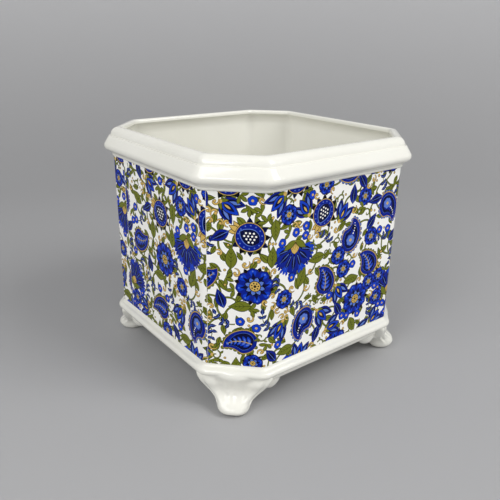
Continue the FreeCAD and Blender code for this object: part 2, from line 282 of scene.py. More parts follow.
# Base slab: the floor of the pot, pressed in one piece and luted under the walls with slip.
# Its edge shows as a thin second lip under the base band, and its underside is hollowed between the feet.
SLAB_HALF = 73.5
SLAB_UNDERSIDE = 17.0
SLAB_LIP_RADIUS = 1.5
SPIGOT_HALF = 70.5
FLOOR_TOP = 24.6
FLOOR_COVE_HALF = 70.0
FLOOR_COVE_RADIUS = 2.0
RECESS_HALF = 58.5
RECESS_CORNER_FACE = 70.6
RECESS_ROUNDING = 4.0
RECESS_LEVEL = 20.4
RECESS_STEPS = (
    (2 * SUPPORT, RECESS_LEVEL),
    (0, RECESS_LEVEL),
    (0, SLAB_UNDERSIDE),
    (-2 * SUPPORT, SLAB_UNDERSIDE),
)
rings = []
for inset, level in RECESS_STEPS:
    rings.append(octagon(RECESS_HALF - inset, RECESS_CORNER_FACE - inset, RECESS_ROUNDING, level))
profile = [(SLAB_HALF - SLAB_LIP_RADIUS - SUPPORT, SLAB_UNDERSIDE)]
profile += arc((SLAB_HALF - SLAB_LIP_RADIUS, SLAB_UNDERSIDE + SLAB_LIP_RADIUS), SLAB_LIP_RADIUS, -90, 0, 7)
profile += [(SLAB_HALF, BAND_UNDERSIDE)]
rings += rings_along(profile, OUTER_CORE)
cove_centre = (FLOOR_COVE_HALF - FLOOR_COVE_RADIUS, FLOOR_TOP + FLOOR_COVE_RADIUS)
profile = [(SPIGOT_HALF, BAND_UNDERSIDE), (SPIGOT_HALF, cove_centre[1])]
profile += arc(cove_centre, FLOOR_COVE_RADIUS, 0, -90, 8)
profile += [(cove_centre[0] - SUPPORT, FLOOR_TOP)]
rings += rings_along(profile, INNER_CORE)
slab = pulled("pressed_slab", rings, "capped")
softened(slab)
slab.data.materials.append(porcelain)
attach(slab, "root")
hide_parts("base_slab")


# Feet: four bracket feet, press-moulded in porcelain and luted under the corners of the slab.
# Each has an apron that hangs from the base band like a swag, a leg modelled with soft lobes between two
# beaded borders, a round toe and two wings.
NOSE_FACE = BAND_HALF + CORNER_FACE_EXTRA
SLAB_FACE = SLAB_HALF + CORNER_FACE_EXTRA
FOOT_DEPTH = 9.0
FOOT_BACK = SLAB_FACE - FOOT_DEPTH
HEEL_INSET = 4.5
HEEL_LEVEL = 4.6
ROUNDING_SHARE = 0.44
FRONT_STEPS = 60
BACK_STEPS = 6
# Level, width, and how far the front stands before the face of the base band.
FOOT_STATIONS = (
    (0.0, 12.0, 0.4),
    (0.5, 14.4, 2.0),
    (1.5, 16.8, 3.9),
    (3.4, 18.6, 5.7),
    (5.6, 19.6, 5.2),
    (8.2, 21.8, 2.0),
    (11.0, 27.4, -0.8),
    (14.2, 34.0, -1.8),
    (18.6, 40.4, -1.2),
    (22.9, 43.4, -2.2),
    (25.0, 36.0, -3.2),
    (28.0, 32.0, -3.6),
)
# Share of the way from the middle of the front to a flank, and how far the modelling stands out there.
LOBES = (
    (0.0, -0.35),
    (0.13, 0.05),
    (0.32, -0.8),
    (0.5, 0.5),
    (0.64, 0.2),
    (0.76, -0.55),
    (0.87, 0.55),
    (0.96, 0.1),
    (1.0, 0.0),
)
# The lobes die out between these levels above the toe, and the borders a little lower.
LOBE_FADE = (4.5, 12.0)
BORDER_FADE = (3.5, 10.0)
BORDER_SHARES = (0.65, 0.75)
APRON_BULGE = 1.0
BULGE_SHARE = 0.3
BULGE_TOP = 23.5
APRON_LEVEL = 19.6
APRON_EDGE = 6.4
APRON_SWAG = 4.4
APRON_TOP = 27.2
APRON_SHARES = (0.5, 0.75)
SKIN = 0.06
FOOT_SMOOTH_ANGLE = 50
SEAT_LAP = 0.05
SEAT_SHARE = 0.05


def ease(value, start, end):
    """Smooth step from nothing at the start to all at the end."""
    share = min(max((value - start) / (end - start), 0.0), 1.0)
    return share * share * (3 - 2 * share)


def between(stations, place, column):
    """Value of a column at a place, on a smooth curve through a table's rows."""
    last = len(stations) - 1
    index = max(i for i in range(last) if stations[i][0] <= place)
    slopes = []
    for i in (index, index + 1):
        before = stations[max(i - 1, 0)]
        after = stations[min(i + 1, last)]
        slopes.append((after[column] - before[column]) / (after[0] - before[0]))
    low, high = stations[index], stations[index + 1]
    span = high[0] - low[0]
    t = (place - low[0]) / span
    value = low[column] * (2 * t ** 3 - 3 * t ** 2 + 1) + high[column] * (3 * t ** 2 - 2 * t ** 3)
    return value + span * (slopes[0] * (t ** 3 - 2 * t ** 2 + t) + slopes[1] * (t ** 3 - t ** 2))


def relief(side, level, reach):
    """How far the moulded front stands out from its reach, at a share of the way to a flank."""
    toe = ease(level, *LOBE_FADE)
    fade = toe + (ease(level, *BORDER_FADE) - toe) * ease(side, *BORDER_SHARES)
    moulded = between(LOBES, side, 1) * fade
    nose = math.sqrt(BAND_NOSE_RADIUS ** 2 - max(level - band_nose[1], 0.0) ** 2) - BAND_NOSE_RADIUS
    bulge = APRON_BULGE * math.exp(-(side / BULGE_SHARE) ** 2) * (1 - ease(level, BULGE_TOP, APRON_TOP))
    edge = APRON_LEVEL + APRON_SWAG * (side / APRON_SHARES[0]) ** 2
    apron = ease(level, edge - APRON_EDGE / 2, edge + APRON_EDGE / 2) * (1 - ease(side, *APRON_SHARES))
    return moulded + (nose - SKIN + bulge - reach - moulded) * apron


def foot_ring(level, seated):
    """Level section of a foot that stands out along +X. A seated one keeps in front of the slab's face."""
    half = between(FOOT_STATIONS, level, 1) / 2
    reach = between(FOOT_STATIONS, level, 2)
    front = NOSE_FACE + reach
    back = FOOT_BACK + HEEL_INSET * ease(HEEL_LEVEL - level, 0.0, HEEL_LEVEL)
    rounding = min(2 * half, front - back) * ROUNDING_SHARE
    flat = half - rounding
    length = flat + rounding * math.pi / 2
    points = []
    for step in range(-FRONT_STEPS, FRONT_STEPS + 1):
        along = length * step / FRONT_STEPS
        turn = max(abs(along) - flat, 0.0) / rounding
        stand = rounding + relief(abs(step) / FRONT_STEPS, level, reach)
        lateral = min(abs(along), flat) + stand * math.sin(turn)
        x = front - rounding + stand * math.cos(turn)
        points.append(Vector((x, math.copysign(lateral, along), level)))
    for end, first in ((1, 90), (-1, 180)):
        for step in range(BACK_STEPS + 1):
            turn = math.radians(first + 90 * step / BACK_STEPS)
            x = back + rounding + rounding * math.cos(turn)
            points.append(Vector((x, end * flat + rounding * math.sin(turn), level)))
    if seated:
        for point in points:
            seat = min(SLAB_FACE, SLAB_HALF * math.sqrt(2) - abs(point.y)) - SEAT_LAP
            if point.x < seat:
                point.x = seat - (seat - point.x) * SEAT_SHARE
    return [point * MM for point in points]


# The sole's rounding needs closer levels than the leg.
SOLE_LEVELS = (0.0, 0.08, 0.2, 0.35, 0.55, 0.8)
LEVEL_STEP = 0.35


def levels_up(first_levels, top):
    """Some first levels, then more at an even step up to a top."""
    levels = list(first_levels)
    while levels[-1] + LEVEL_STEP < top:
        levels.append(levels[-1] + LEVEL_STEP)
    return levels + [top]


rings = [foot_ring(level, False) for level in levels_up(SOLE_LEVELS, SLAB_UNDERSIDE)]
rings += [foot_ring(level, True) for level in levels_up([SLAB_UNDERSIDE + SEAT_LAP], APRON_TOP)]
foot = pulled("foot", rings, "capped")
foot.data.transform(Matrix.Rotation(math.radians(45), 4, "Z"))

# Distance from the corner along the wall, and the lobe's drop there.
WING_STATIONS = ((0.0, 6.6), (3.5, 5.6), (5.6, 6.4), (8.6, 7.3), (12.4, 6.2), (15.8, 3.4), (17.5, 0.2))
WING_INSET = 5.3
WING_SHARE = 0.68
WING_STEPS = 28
WING_SIDES = 24
wing_start = (SLAB_FACE - SLAB_HALF * math.cos(math.pi / 4)) / math.sin(math.pi / 4)
wing_length = WING_STATIONS[-1][0]
rings = []
for step in range(WING_STEPS + 1):
    place = wing_length * step / WING_STEPS
    depth = between(WING_STATIONS, place, 1)
    ring = []
    for side in range(WING_SIDES):
        turn = 2 * math.pi * side / WING_SIDES
        lift = depth * math.sin(turn)
        x = SLAB_HALF - WING_INSET + WING_SHARE * depth * math.cos(turn)
        ring.append(Vector((x, wing_start - place, SLAB_UNDERSIDE + min(lift, SKIN * lift))) * MM)
    rings.append(ring)
wing = pulled("wing", rings, "capped")
bpy.ops.object.duplicate()
far_wing = bpy.context.object
swapped_axes = Matrix(((0, 1, 0, 0), (1, 0, 0, 0), (0, 0, 1, 0), (0, 0, 0, 1)))
far_wing.data.transform(swapped_axes)
far_wing.data.flip_normals()
for other, operation in ((wing, "UNION"), (far_wing, "UNION"), (body, "DIFFERENCE")):
    luting = foot.modifiers.new("luting", "BOOLEAN")
    luting.operation = operation
    luting.object = other
    choose(foot)
    bpy.ops.object.modifier_apply(modifier=luting.name)
bpy.data.objects.remove(wing)
bpy.data.objects.remove(far_wing)
smooth(FOOT_SMOOTH_ANGLE)
foot.data.materials.append(porcelain)
FOOT_NODES = ("foot_back_right", "foot_back_left", "foot_front_left", "foot_front_right")
for quarter, node in enumerate(FOOT_NODES):
    copy = foot.copy()
    copy.data = foot.data.copy()
    copy.name = "moulded_" + node
    copy.data.transform(Matrix.Rotation(math.radians(90 * quarter), 4, "Z"))
    bpy.context.collection.objects.link(copy)
    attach(copy, "root")
    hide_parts(node)
bpy.data.objects.remove(foot)


# Transfer print: the flowered sheets on the walls, screen printed in flat inks and fired into the glaze.
# Three full sheets and a closing strip run round the pot, each cut straight from a print that repeats.
SHEET_PERIOD = 150.0
PRINT_HEIGHT = PRINT_TOP - PRINT_BOTTOM
SHEET_THICKNESS = 0.1
SEAM_GAP = 0.2
CLOSING_STRIP_LENGTH = 88.7
BLEED = 9.0
INKS = {
    "ground": (252, 251, 246),
    "cobalt": (6, 32, 142),
    "blue": (14, 62, 196),
    "deep": (4, 10, 56),
    "navy": (3, 4, 14),
    "sky": (92, 124, 208),
    "leaf": (112, 120, 34),
    "moss": (36, 42, 14),
    "gold": (212, 178, 96),
    "umber": (34, 26, 16),
}
drawn = []


def ink(colour, points):
    """Adds one flat patch of ink over what is printed so far."""
    drawn.append((colour, points))


def placed(x, y, turn=0, size=1, flip=1):
    """Way of setting a motif drawn about its own middle at a place on the sheet."""
    c, s = math.cos(math.radians(turn)) * size, math.sin(math.radians(turn)) * size
    return lambda u, v: (x + c * u * flip - s * v, y + s * u * flip + c * v)


def within(at, x, y, turn=0, size=1, flip=1):
    """Way of setting a detail inside a motif."""
    inner = placed(x, y, turn, size, flip)
    return lambda u, v: at(*inner(u, v))


def around(at, count, shift=0.0):
    """Ways of setting a ring of details about a motif's middle."""
    return [within(at, 0, 0, 360 * (i + shift) / count) for i in range(count)]


def disc(at, x, y, radius, colour, steps):
    """Round spot of ink."""
    points = []
    for step in range(steps):
        angle = 2 * math.pi * step / steps
        points.append(at(x + radius * math.cos(angle), y + radius * math.sin(angle)))
    ink(colour, points)


def petal(at, length, width, colour, bluntness=0.8, fullest=0.5, steps=9, base=0.0):
    """Petal or leaf from the middle outwards. A low bluntness gives a round end, a high one a point."""
    power = math.log(0.5) / math.log(fullest)
    side = []
    for step in range(steps + 1):
        t = step / steps
        half = width / 2 * math.sin(math.pi * t ** power) ** bluntness if 0 < t < 1 else 0.0
        side.append((half, base + (length - base) * t))
    points = [at(h, v) for h, v in side] + [at(-h, v) for h, v in side[-2:0:-1]]
    ink(colour, points)


def ribbon(at, line, start, end, colour, swell=0.0):
    """Line of ink along points, from one width to another, fuller in the middle where it swells."""
    last = len(line) - 1
    left, right = [], []
    for i, (x, y) in enumerate(line):
        (ax, ay), (bx, by) = line[max(i - 1, 0)], line[min(i + 1, last)]
        length = math.hypot(bx - ax, by - ay) or 1.0
        t = i / last
        half = (start + (end - start) * t + swell * math.sin(math.pi * t)) / 2
        nx, ny = -(by - ay) / length * half, (bx - ax) / length * half
        left.append(at(x + nx, y + ny))
        right.append(at(x - nx, y - ny))
    ink(colour, left + right[::-1])


def bow(x, y, sag, steps):
    """Points along a bowed line from a motif's middle to a place."""
    points = []
    length = math.hypot(x, y) or 1.0
    nx, ny = -y / length * sag, x / length * sag
    for step in range(steps + 1):
        t = step / steps
        lift = 4 * t * (1 - t)
        points.append((x * t + nx * lift, y * t + ny * lift))
    return points


SCROLL_STEPS = 22
SCROLL_EYE = 0.12


def scroll(turns, radius):
    """Points along a curl that winds in from its root at the middle to its eye."""
    points = []
    for step in range(SCROLL_STEPS + 1):
        t = step / SCROLL_STEPS
        angle = 2 * math.pi * turns * t
        r = radius * (1 - t) ** 1.15 + radius * SCROLL_EYE
        points.append((radius * (1 + SCROLL_EYE) - r * math.cos(angle), r * math.sin(angle)))
    return points


def daisy(at, radius, petals, colour):
    """Little open flower with a gold eye."""
    for turned in around(at, petals):
        petal(turned, radius, radius * 5.2 / petals, colour, 0.55, 0.62, 6)
    disc(at, 0, 0, radius * 0.3, "gold", 8)


def side_veins(at, v, reach, rises, width, tip, colour):
    """Two veins from a leaf's rib out to its sides, with their rise halfway and at their ends."""
    for side in (1, -1):
        vein = [(0, v), (side * reach * 0.6, v + reach * rises[0]), (side * reach, v + reach * rises[1])]
        ribbon(at, vein, width, tip, colour)


def veined_leaf(at, length, width):
    """Green pointed leaf with a dark edge, rib and side veins."""
    petal(within(at, 0, -0.25), length + 0.6, width + 0.7, "moss", 1.1, 0.42)
    petal(at, length, width, "leaf", 1.15, 0.42)
    ribbon(at, [(0, 0.3), (0, length * 0.45), (0, length * 0.9)], 0.3, 0.12, "moss")
    for i in range(1, 4):
        v = length * (0.14 + 0.17 * i)
        side_veins(at, v, width * (0.36 - 0.05 * i), (0.7, 1.4), 0.22, 0.08, "moss")


def blue_leaf(at, length, width):
    """Leaf in two blues with a dark edge, dark side veins and a pale rib."""
    petal(within(at, 0, -0.2), length + 0.5, width + 0.6, "umber", 1.1, 0.42)
    petal(at, length, width, "cobalt", 1.15, 0.42)
    petal(within(at, 0, length * 0.1), length * 0.78, width * 0.5, "deep", 1.2, 0.4, 6)
    for i in range(1, 5):
        v = length * (0.1 + 0.14 * i)
        side_veins(at, v, width * (0.42 - 0.05 * i), (0.6, 1.3), 0.3, 0.1, "navy")
    ribbon(at, [(0, length * 0.05), (0, length * 0.5), (0, length * 0.85)], 0.36, 0.14, "sky")


# Share of a drop's length at its fullest place, and how late the bend of its tip sets in.
DROP_FULLEST_SHARE = 0.34
DROP_BEND_POWER = 1.7
OUTLINE_STEPS = 26
SPRIG_STEPS = 40
SCALLOP_PITCH = 2.3


def spine(length, bend, steps):
    """Shares, points and headings up the middle of a curved drop."""
    x = y = 0.0
    found = []
    for step in range(steps + 1):
        t = step / steps
        heading = math.radians(90 - bend * t ** DROP_BEND_POWER)
        if step:
            x += math.cos(heading) * length / steps
            y += math.sin(heading) * length / steps
        found.append((t, x, y, heading))
    return found


def drop_outline(radius, length, bend, grow=0.0):
    """Outline of a curved drop: a round foot that draws out into a bent tip."""
    left, right = [], []
    for t, x, y, heading in spine(length, bend, OUTLINE_STEPS):
        past = t - DROP_FULLEST_SHARE
        if past < 0:
            half = radius * math.sqrt(max(1 - (past / DROP_FULLEST_SHARE) ** 2, 0.0))
        else:
            half = radius * (1 - (past / (1 - DROP_FULLEST_SHARE)) ** 1.45)
        half = max(half + grow * (1 - 0.6 * t), 0.0)
        nx, ny = -math.sin(heading) * half, math.cos(heading) * half
        left.append((x + nx, y + ny))
        right.append((x - nx, y - ny))
    return right + left[:0:-1]


def drop(at, radius, length, bend, style):
    """Curved drop in a scalloped border, with bands of colour about a flower or a sprig."""
    edge = drop_outline(radius, length, bend, 0.7)
    walked = 0.0
    for i, (x, y) in enumerate(edge):
        walked += math.dist(edge[i - 1], (x, y))
        if walked >= SCALLOP_PITCH:
            walked = 0.0
            disc(at, x, y, 1.28, "umber", 9)
            disc(at, x, y, 1.02, ("sky", "leaf")[style], 9)
    for grow, colour in ((0.95, "umber"), (0.7, "gold"), (0.1, "umber"), (-0.15, "cobalt")):
        ink(colour, [at(*p) for p in drop_outline(radius, length, bend, grow)])
    inner = within(at, 0, length * 0.1, 0, 0.74)
    ink("sky", [inner(*p) for p in drop_outline(radius, length * 0.98, bend, 0.28)])
    ink("deep", [inner(*p) for p in drop_outline(radius, length * 0.98, bend)])
    if style == 0:
        core = within(at, 0, length * 0.17, 0, 0.5)
        ink("cobalt", [core(*p) for p in drop_outline(radius, length, bend)])
        daisy(within(at, 0, length * 0.34, 10), radius * 0.46, 7, "sky")
        for t, x, y, heading in spine(length, bend, SPRIG_STEPS)[21:35:3]:
            disc(at, x, y, 0.62 * (1.35 - t), "ground", 7)
        return
    sprig = spine(length, bend, SPRIG_STEPS)[5:35]
    ribbon(at, [(x, y) for t, x, y, heading in sprig], 0.6, 0.3, "gold")
    for t, x, y, heading in sprig[2::5]:
        for side in (1, -1):
            leaflet = within(at, x, y, math.degrees(heading) - 90 + side * 52)
            petal(leaflet, radius * (0.74 - 0.62 * t), radius * 0.3 * (1.15 - t), "blue", 0.9, 0.5, 6)
            petal(leaflet, radius * (0.5 - 0.45 * t), radius * 0.13, "sky", 0.9, 0.5, 5)


def rosette(at, radius, petals):
    """Open flower with round petals in two rings about a beaded eye."""
    for turned in around(at, petals, 0.5):
        petal(turned, radius * 1.1, radius * 2.2 / petals, "navy", 1.0, 0.62, 6, radius * 0.4)
    for turned in around(at, petals):
        petal(turned, radius + 0.3, radius * 5.0 / petals + 0.6, "umber", 0.5, 0.66)
    for turned in around(at, petals):
        petal(turned, radius, radius * 5.0 / petals, "cobalt", 0.5, 0.66)
        petal(turned, radius * 0.92, radius * 2.9 / petals, "blue", 0.55, 0.7, 6, radius * 0.45)
        petal(turned, radius * 0.78, radius * 1.5 / petals, "deep", 1.0, 0.4, 6, radius * 0.2)
        disc(turned, 0, radius * 0.83, radius * 0.045, "sky", 6)
    for turned in around(at, petals, 0.5):
        petal(turned, radius * 0.56, radius * 2.6 / petals, "navy", 0.6, 0.6, 6)
        petal(turned, radius * 0.51, radius * 1.8 / petals, "sky", 0.6, 0.6, 6)
    disc(at, 0, 0, radius * 0.31, "navy", 14)
    disc(at, 0, 0, radius * 0.27, "gold", 14)
    for i in range(7):
        angle = 2 * math.pi * i / 7
        disc(at, radius * 0.17 * math.cos(angle), radius * 0.17 * math.sin(angle), radius * 0.045, "umber", 6)
    disc(at, 0, 0, radius * 0.08, "umber", 8)


def fan_flower(at, size):
    """Flower seen from the side: a fan of toothed petals out of a leafy cup."""
    spread = (-78, -52, -26, 0, 26, 52, 78)
    for layer in (0, 1):
        for turn in spread[layer::2]:
            turned = within(at, 0, size * 0.1, turn)
            reach = size * (1.0 - 0.0012 * abs(turn))
            petal(turned, reach + 0.35, size * 0.5 + 0.6, "umber", 0.42, 0.8, 8)
            petal(turned, reach, size * 0.5, ("blue", "cobalt")[layer], 0.42, 0.8, 8)
            for tooth in (-1, 0, 1):
                tip = within(turned, tooth * size * 0.13, reach * 0.93, -tooth * 10)
                petal(tip, size * 0.17, size * 0.13, ("blue", "cobalt")[layer], 1.0, 0.4, 4)
            petal(turned, reach * 0.86, size * 0.2, "deep", 0.9, 0.6, 6, size * 0.2)
            ribbon(turned, [(0, size * 0.35), (0, size * 0.6), (0, reach * 0.9)], 0.5, 0.14, "sky")
    petal(within(at, 0, -size * 0.18), size * 0.55, size * 0.44, "umber", 0.6, 0.45)
    petal(within(at, 0, -size * 0.15), size * 0.5, size * 0.38, "gold", 0.6, 0.45)
    for side in (1, -1):
        cup = within(at, 0, -size * 0.16, side * 58)
        petal(cup, size * 0.62 + 0.3, size * 0.24 + 0.5, "moss", 0.9, 0.45)
        petal(cup, size * 0.6, size * 0.22, "leaf", 0.95, 0.45)
    for turn in (-24, 0, 24):
        streak = within(at, 0, -size * 0.1, turn)
        ribbon(streak, [(0, 0), (0, size * 0.15), (0, size * 0.3)], 0.28, 0.2, "umber")


def fruit(at, radius):
    """Round seeded fruit with a crown, in a ruff of leaves."""
    for i in range(9):
        ruff = within(at, 0, 0, 180 + (i - 4) * 30)
        petal(ruff, radius * 1.42, radius * 0.5, ("deep", "navy")[i % 2], 0.9, 0.6, 6)
    for turn in (-32, 32, 0):
        crown = within(at, 0, radius * 0.8, turn)
        petal(crown, radius * 0.86, radius * 0.46, "umber", 1.0, 0.4, 7)
        petal(crown, radius * 0.8, radius * 0.36, "gold", 1.0, 0.4, 7)
    for grow, colour in ((0.6, "umber"), (0.34, "gold"), (0.0, "umber"), (-0.2, "cobalt")):
        disc(at, 0, 0, radius + grow, colour, 26)
    heart = within(at, 0, -radius * 0.72)
    petal(heart, radius * 1.56, radius * 1.24, "sky", 0.7, 0.42)
    petal(heart, radius * 1.5, radius * 1.14, "deep", 0.7, 0.42)
    for row, seeds in ((-0.34, 3), (-0.1, 4), (0.14, 3), (0.38, 2)):
        for i in range(seeds):
            disc(at, (i - (seeds - 1) / 2) * radius * 0.24, row * radius, radius * 0.075, "ground", 7)
    for i in range(14):
        angle = 2 * math.pi * i / 14
        disc(at, radius * 0.83 * math.cos(angle), radius * 0.83 * math.sin(angle), radius * 0.055, "sky", 6)


def tulip(at, size):
    """Bud of three pointed petals on a leafy cup."""
    for side in (1, -1):
        outer = within(at, side * size * 0.1, 0, -side * 24)
        petal(outer, size + 0.35, size * 0.44 + 0.55, "umber", 0.85, 0.42)
        petal(outer, size, size * 0.44, "cobalt", 0.88, 0.42)
        petal(outer, size * 0.9, size * 0.3, "deep", 0.9, 0.45, 7, size * 0.1)
        petal(outer, size * 0.8, size * 0.14, "sky", 1.0, 0.5, 6, size * 0.25)
    petal(at, size * 0.95, size * 0.5, "umber", 0.8, 0.42)
    petal(at, size * 0.9, size * 0.42, "blue", 0.85, 0.42)
    petal(at, size * 0.72, size * 0.24, "deep", 1.0, 0.42, 6, size * 0.1)
    petal(at, size * 0.5, size * 0.1, "gold", 1.0, 0.5, 6, size * 0.16)
    for side in (1, -1):
        cup = within(at, 0, -size * 0.12, -side * 40)
        petal(cup, size * 0.46, size * 0.2, "moss", 0.9, 0.45, 6)
        petal(cup, size * 0.42, size * 0.14, "leaf", 0.95, 0.45, 6)
    disc(at, 0, -size * 0.06, size * 0.1, "gold", 8)


def spray(at, length, pairs, flip):
    """Bowed stem with leaves in pairs and a leaf at its end."""
    line = bow(length * 0.25 * flip, length, -length * 0.2 * flip, 12)
    ribbon(at, line, 0.75, 0.35, "moss")
    ribbon(at, line, 0.45, 0.2, "leaf")
    for i in range(1, pairs + 1):
        k = round(12 * i / (pairs + 0.7))
        (ax, ay), (x, y) = line[k - 1], line[k]
        heading = math.degrees(math.atan2(y - ay, x - ax)) - 90
        leaf_length = length * (0.34 - 0.1 * i / pairs)
        for side in (1, -1):
            blue_leaf(within(at, x, y, heading + side * 58), leaf_length, leaf_length * 0.48)
    (ax, ay), (x, y) = line[-2], line[-1]
    heading = math.degrees(math.atan2(y - ay, x - ax)) - 90
    blue_leaf(within(at, x, y, heading), length * 0.3, length * 0.15)


def curl(at, size):
    """Gold comma with a dark edge."""
    line = scroll(0.8, size * 0.5)
    ribbon(at, line, 0.55, 0.75, "umber", 0.75)
    ribbon(at, line, 0.2, 0.5, "gold", 0.62)
    x, y = line[-1]
    disc(at, x, y, size * 0.16 + 0.2, "umber", 8)
    disc(at, x, y, size * 0.16, "gold", 8)


def green_curl(at, size):
    """Tendril with two small leaves."""
    line = scroll(1.05, size * 0.5)
    ribbon(at, line, 0.9, 0.55, "moss", 0.2)
    ribbon(at, line, 0.6, 0.3, "leaf", 0.1)
    for turn, place in ((70, 3), (-60, 7)):
        x, y = line[place]
        tip = within(at, x, y, turn)
        petal(tip, size * 0.5, size * 0.24, "moss", 1.0, 0.45, 6)
        petal(tip, size * 0.45, size * 0.16, "leaf", 1.0, 0.45, 6)


def pearl(at, size):
    """Gold dot with a dark edge."""
    disc(at, 0, 0, size * 0.5, "umber", 9)
    disc(at, 0, 0, size * 0.5 - 0.22, "gold", 9)


def trefoil(at, size):
    """Three small green leaves together."""
    for turn in (-62, 62, 0):
        tip = within(at, 0, 0, turn)
        petal(tip, size + 0.2, size * 0.5, "moss", 0.8, 0.55, 6)
        petal(tip, size, size * 0.36, "leaf", 0.85, 0.55, 6)


# Motifs below the small room are tried at fewer places, and stems join those above a flower's room.
SMALL_ROOM = 2.0
FLOWER_ROOM = 5.0
SMALL_TRIES = 220
TRIES = 400
random.seed(41)
rooms = []


def space_at(x, y, room, enough):
    """Smallest space to the motifs already set, on a sheet that repeats."""
    least = math.inf
    for ox, oy, other in rooms:
        dx = abs(x - ox) % SHEET_PERIOD
        least = min(least, math.hypot(min(dx, SHEET_PERIOD - dx), y - oy) - other - room)
        if least < enough:
            break
    return least


def settle(room, tries, lap, spread):
    """Free place for a motif: as far as it can be from the others where they spread, else close in."""
    best = None
    for _ in range(tries):
        x = random.uniform(0, SHEET_PERIOD)
        y = random.uniform(-BLEED, PRINT_HEIGHT + BLEED)
        space = space_at(x, y, room, -lap)
        if space >= -lap and (best is None or (space > best[0]) == spread):
            best = (space, x, y)
    if best:
        rooms.append((best[1], best[2], room))
    return best


# Kinds of motif in turn, the rooms that they take, how many are tried, how much they may lap, and whether
# they keep as far apart as they can.
LAYERS = (
    (("drop", "rosette", "fan", "fruit", "sprigged_drop"), (12.0, 10.2, 11.2, 10.8, 11.6), 20, 2.2, True),
    (("tulip", "spray", "leaf", "small_rosette", "blue_leaf"), (6.8, 6.6, 6.2, 5.6, 5.8), 80, 2.0, False),
    (("curl", "green_curl", "daisy", "curl", "trefoil"), (3.3, 3.6, 2.7, 2.7, 3.2), 190, 1.5, False),
    (("curl", "pearl", "trefoil", "bud", "pearl"), (1.7, 1.1, 1.6, 1.5, 0.9), 320, 0.2, False),
)
motifs = []
for kinds, sizes, count, lap, spread in LAYERS:
    for index in range(count):
        kind, room = kinds[index % len(kinds)], sizes[index % len(sizes)]
        spot = settle(room, SMALL_TRIES if room < SMALL_ROOM else TRIES, lap, spread)
        if spot:
            motifs.append((kind, spot[1], spot[2], room, random.uniform(0, 360)))


def edged_daisy(at, room):
    """Little open flower on a dark one."""
    for turned in around(at, 5):
        petal(turned, room * 1.05, room * 1.1, "deep", 0.55, 0.62, 6)
    daisy(at, room * 0.92, 5, "blue")


def bud(at, room):
    """Small closed bud."""
    petal(within(at, 0, -room), room * 2, room * 1.3, "navy", 0.7, 0.4, 6)
    petal(within(at, 0, -room * 0.8), room * 1.6, room * 0.9, "cobalt", 0.7, 0.4, 6)


# How each kind is drawn: its function, its root across and up from the middle of its room, its sizes, all
# three as shares of the room, and what else the function is told.
SETTINGS = {
    "drop": (drop, -0.22, -0.86, (0.62, 1.75), 105, 0),
    "sprigged_drop": (drop, -0.22, -0.86, (0.62, 1.75), 80, 1),
    "rosette": (rosette, 0, 0, (1.02,), 8),
    "small_rosette": (rosette, 0, 0, (1,), 6),
    "fan": (fan_flower, 0, -0.55, (1.35,)),
    "fruit": (fruit, 0, -0.1, (0.7,)),
    "tulip": (tulip, 0, -0.8, (1.75,)),
    "spray": (spray, -0.2, -1, (1.75,), 3),
    "leaf": (veined_leaf, 0, -0.98, (2, 0.95)),
    "blue_leaf": (blue_leaf, 0, -0.98, (2, 0.95)),
    "green_curl": (green_curl, -0.6, -0.3, (1.6,)),
    "curl": (curl, -0.6, 0, (1.6,)),
    "daisy": (edged_daisy, 0, 0, (1,)),
    "trefoil": (trefoil, 0, -0.7, (1.5,)),
    "pearl": (pearl, 0, 0, (1.8,)),
    "bud": (bud, 0, 0, (1,)),
}


def draw(kind, at, room, flip):
    """Draws a motif in the room that it takes. Drops and sprays bend to either side."""
    motif, across, up, shares, *rest = SETTINGS[kind]
    sizes = [room * share for share in shares]
    if motif == drop:
        drop(within(at, room * across * flip, room * up, 0, 1, flip), *sizes, *rest)
    elif motif == spray:
        spray(within(at, room * across * flip, room * up), *sizes, *rest, flip)
    else:
        motif(within(at, room * across, room * up), *sizes, *rest)


def stems():
    """Green stems that run from flower to flower beneath them."""
    flowers = [motif for motif in motifs if motif[3] > FLOWER_ROOM]
    joined = set()
    for i, (kind, x, y, room, turn) in enumerate(flowers):
        nearest = []
        for j, other in enumerate(flowers):
            dx = (other[1] - x + SHEET_PERIOD / 2) % SHEET_PERIOD - SHEET_PERIOD / 2
            dy = other[2] - y
            if i != j:
                nearest.append((math.hypot(dx, dy), dx, dy, j))
        nearest.sort()
        for gap, dx, dy, j in nearest[:2]:
            if (j, i) in joined:
                continue
            joined.add((i, j))
            at = placed(x, y)
            line = bow(dx, dy, gap * 0.24, 14)
            ribbon(at, line, 1.3, 1.1, "moss")
            ribbon(at, line, 0.85, 0.65, "leaf")


UNDERLEAVES = 17


def undergrowth():
    """Leaves that show between the flowers, set in loose rows beneath everything else."""
    pitch = SHEET_PERIOD / UNDERLEAVES
    rows = math.ceil((PRINT_HEIGHT + 2 * BLEED) / pitch)
    for row in range(rows):
        for column in range(UNDERLEAVES):
            x = (column + row % 2 / 2 + random.uniform(-0.3, 0.3)) * pitch
            y = (row + random.uniform(-0.3, 0.3)) * pitch - BLEED
            leaf = placed(x, y, random.uniform(0, 360))
            size = pitch * random.uniform(0.6, 0.95)
            petal(leaf, size + 0.5, size * 0.42 + 0.6, "moss", 1.05, 0.42, 7)
            petal(leaf, size, size * 0.42, "leaf", 1.1, 0.42, 7)
            ribbon(leaf, [(0, 0.3), (0, size * 0.45), (0, size * 0.9)], 0.45, 0.15, "moss")


undergrowth()
stems()
for kind, x, y, room, turn in motifs:
    draw(kind, placed(x, y, turn), room, 1 if int(turn) % 2 else -1)


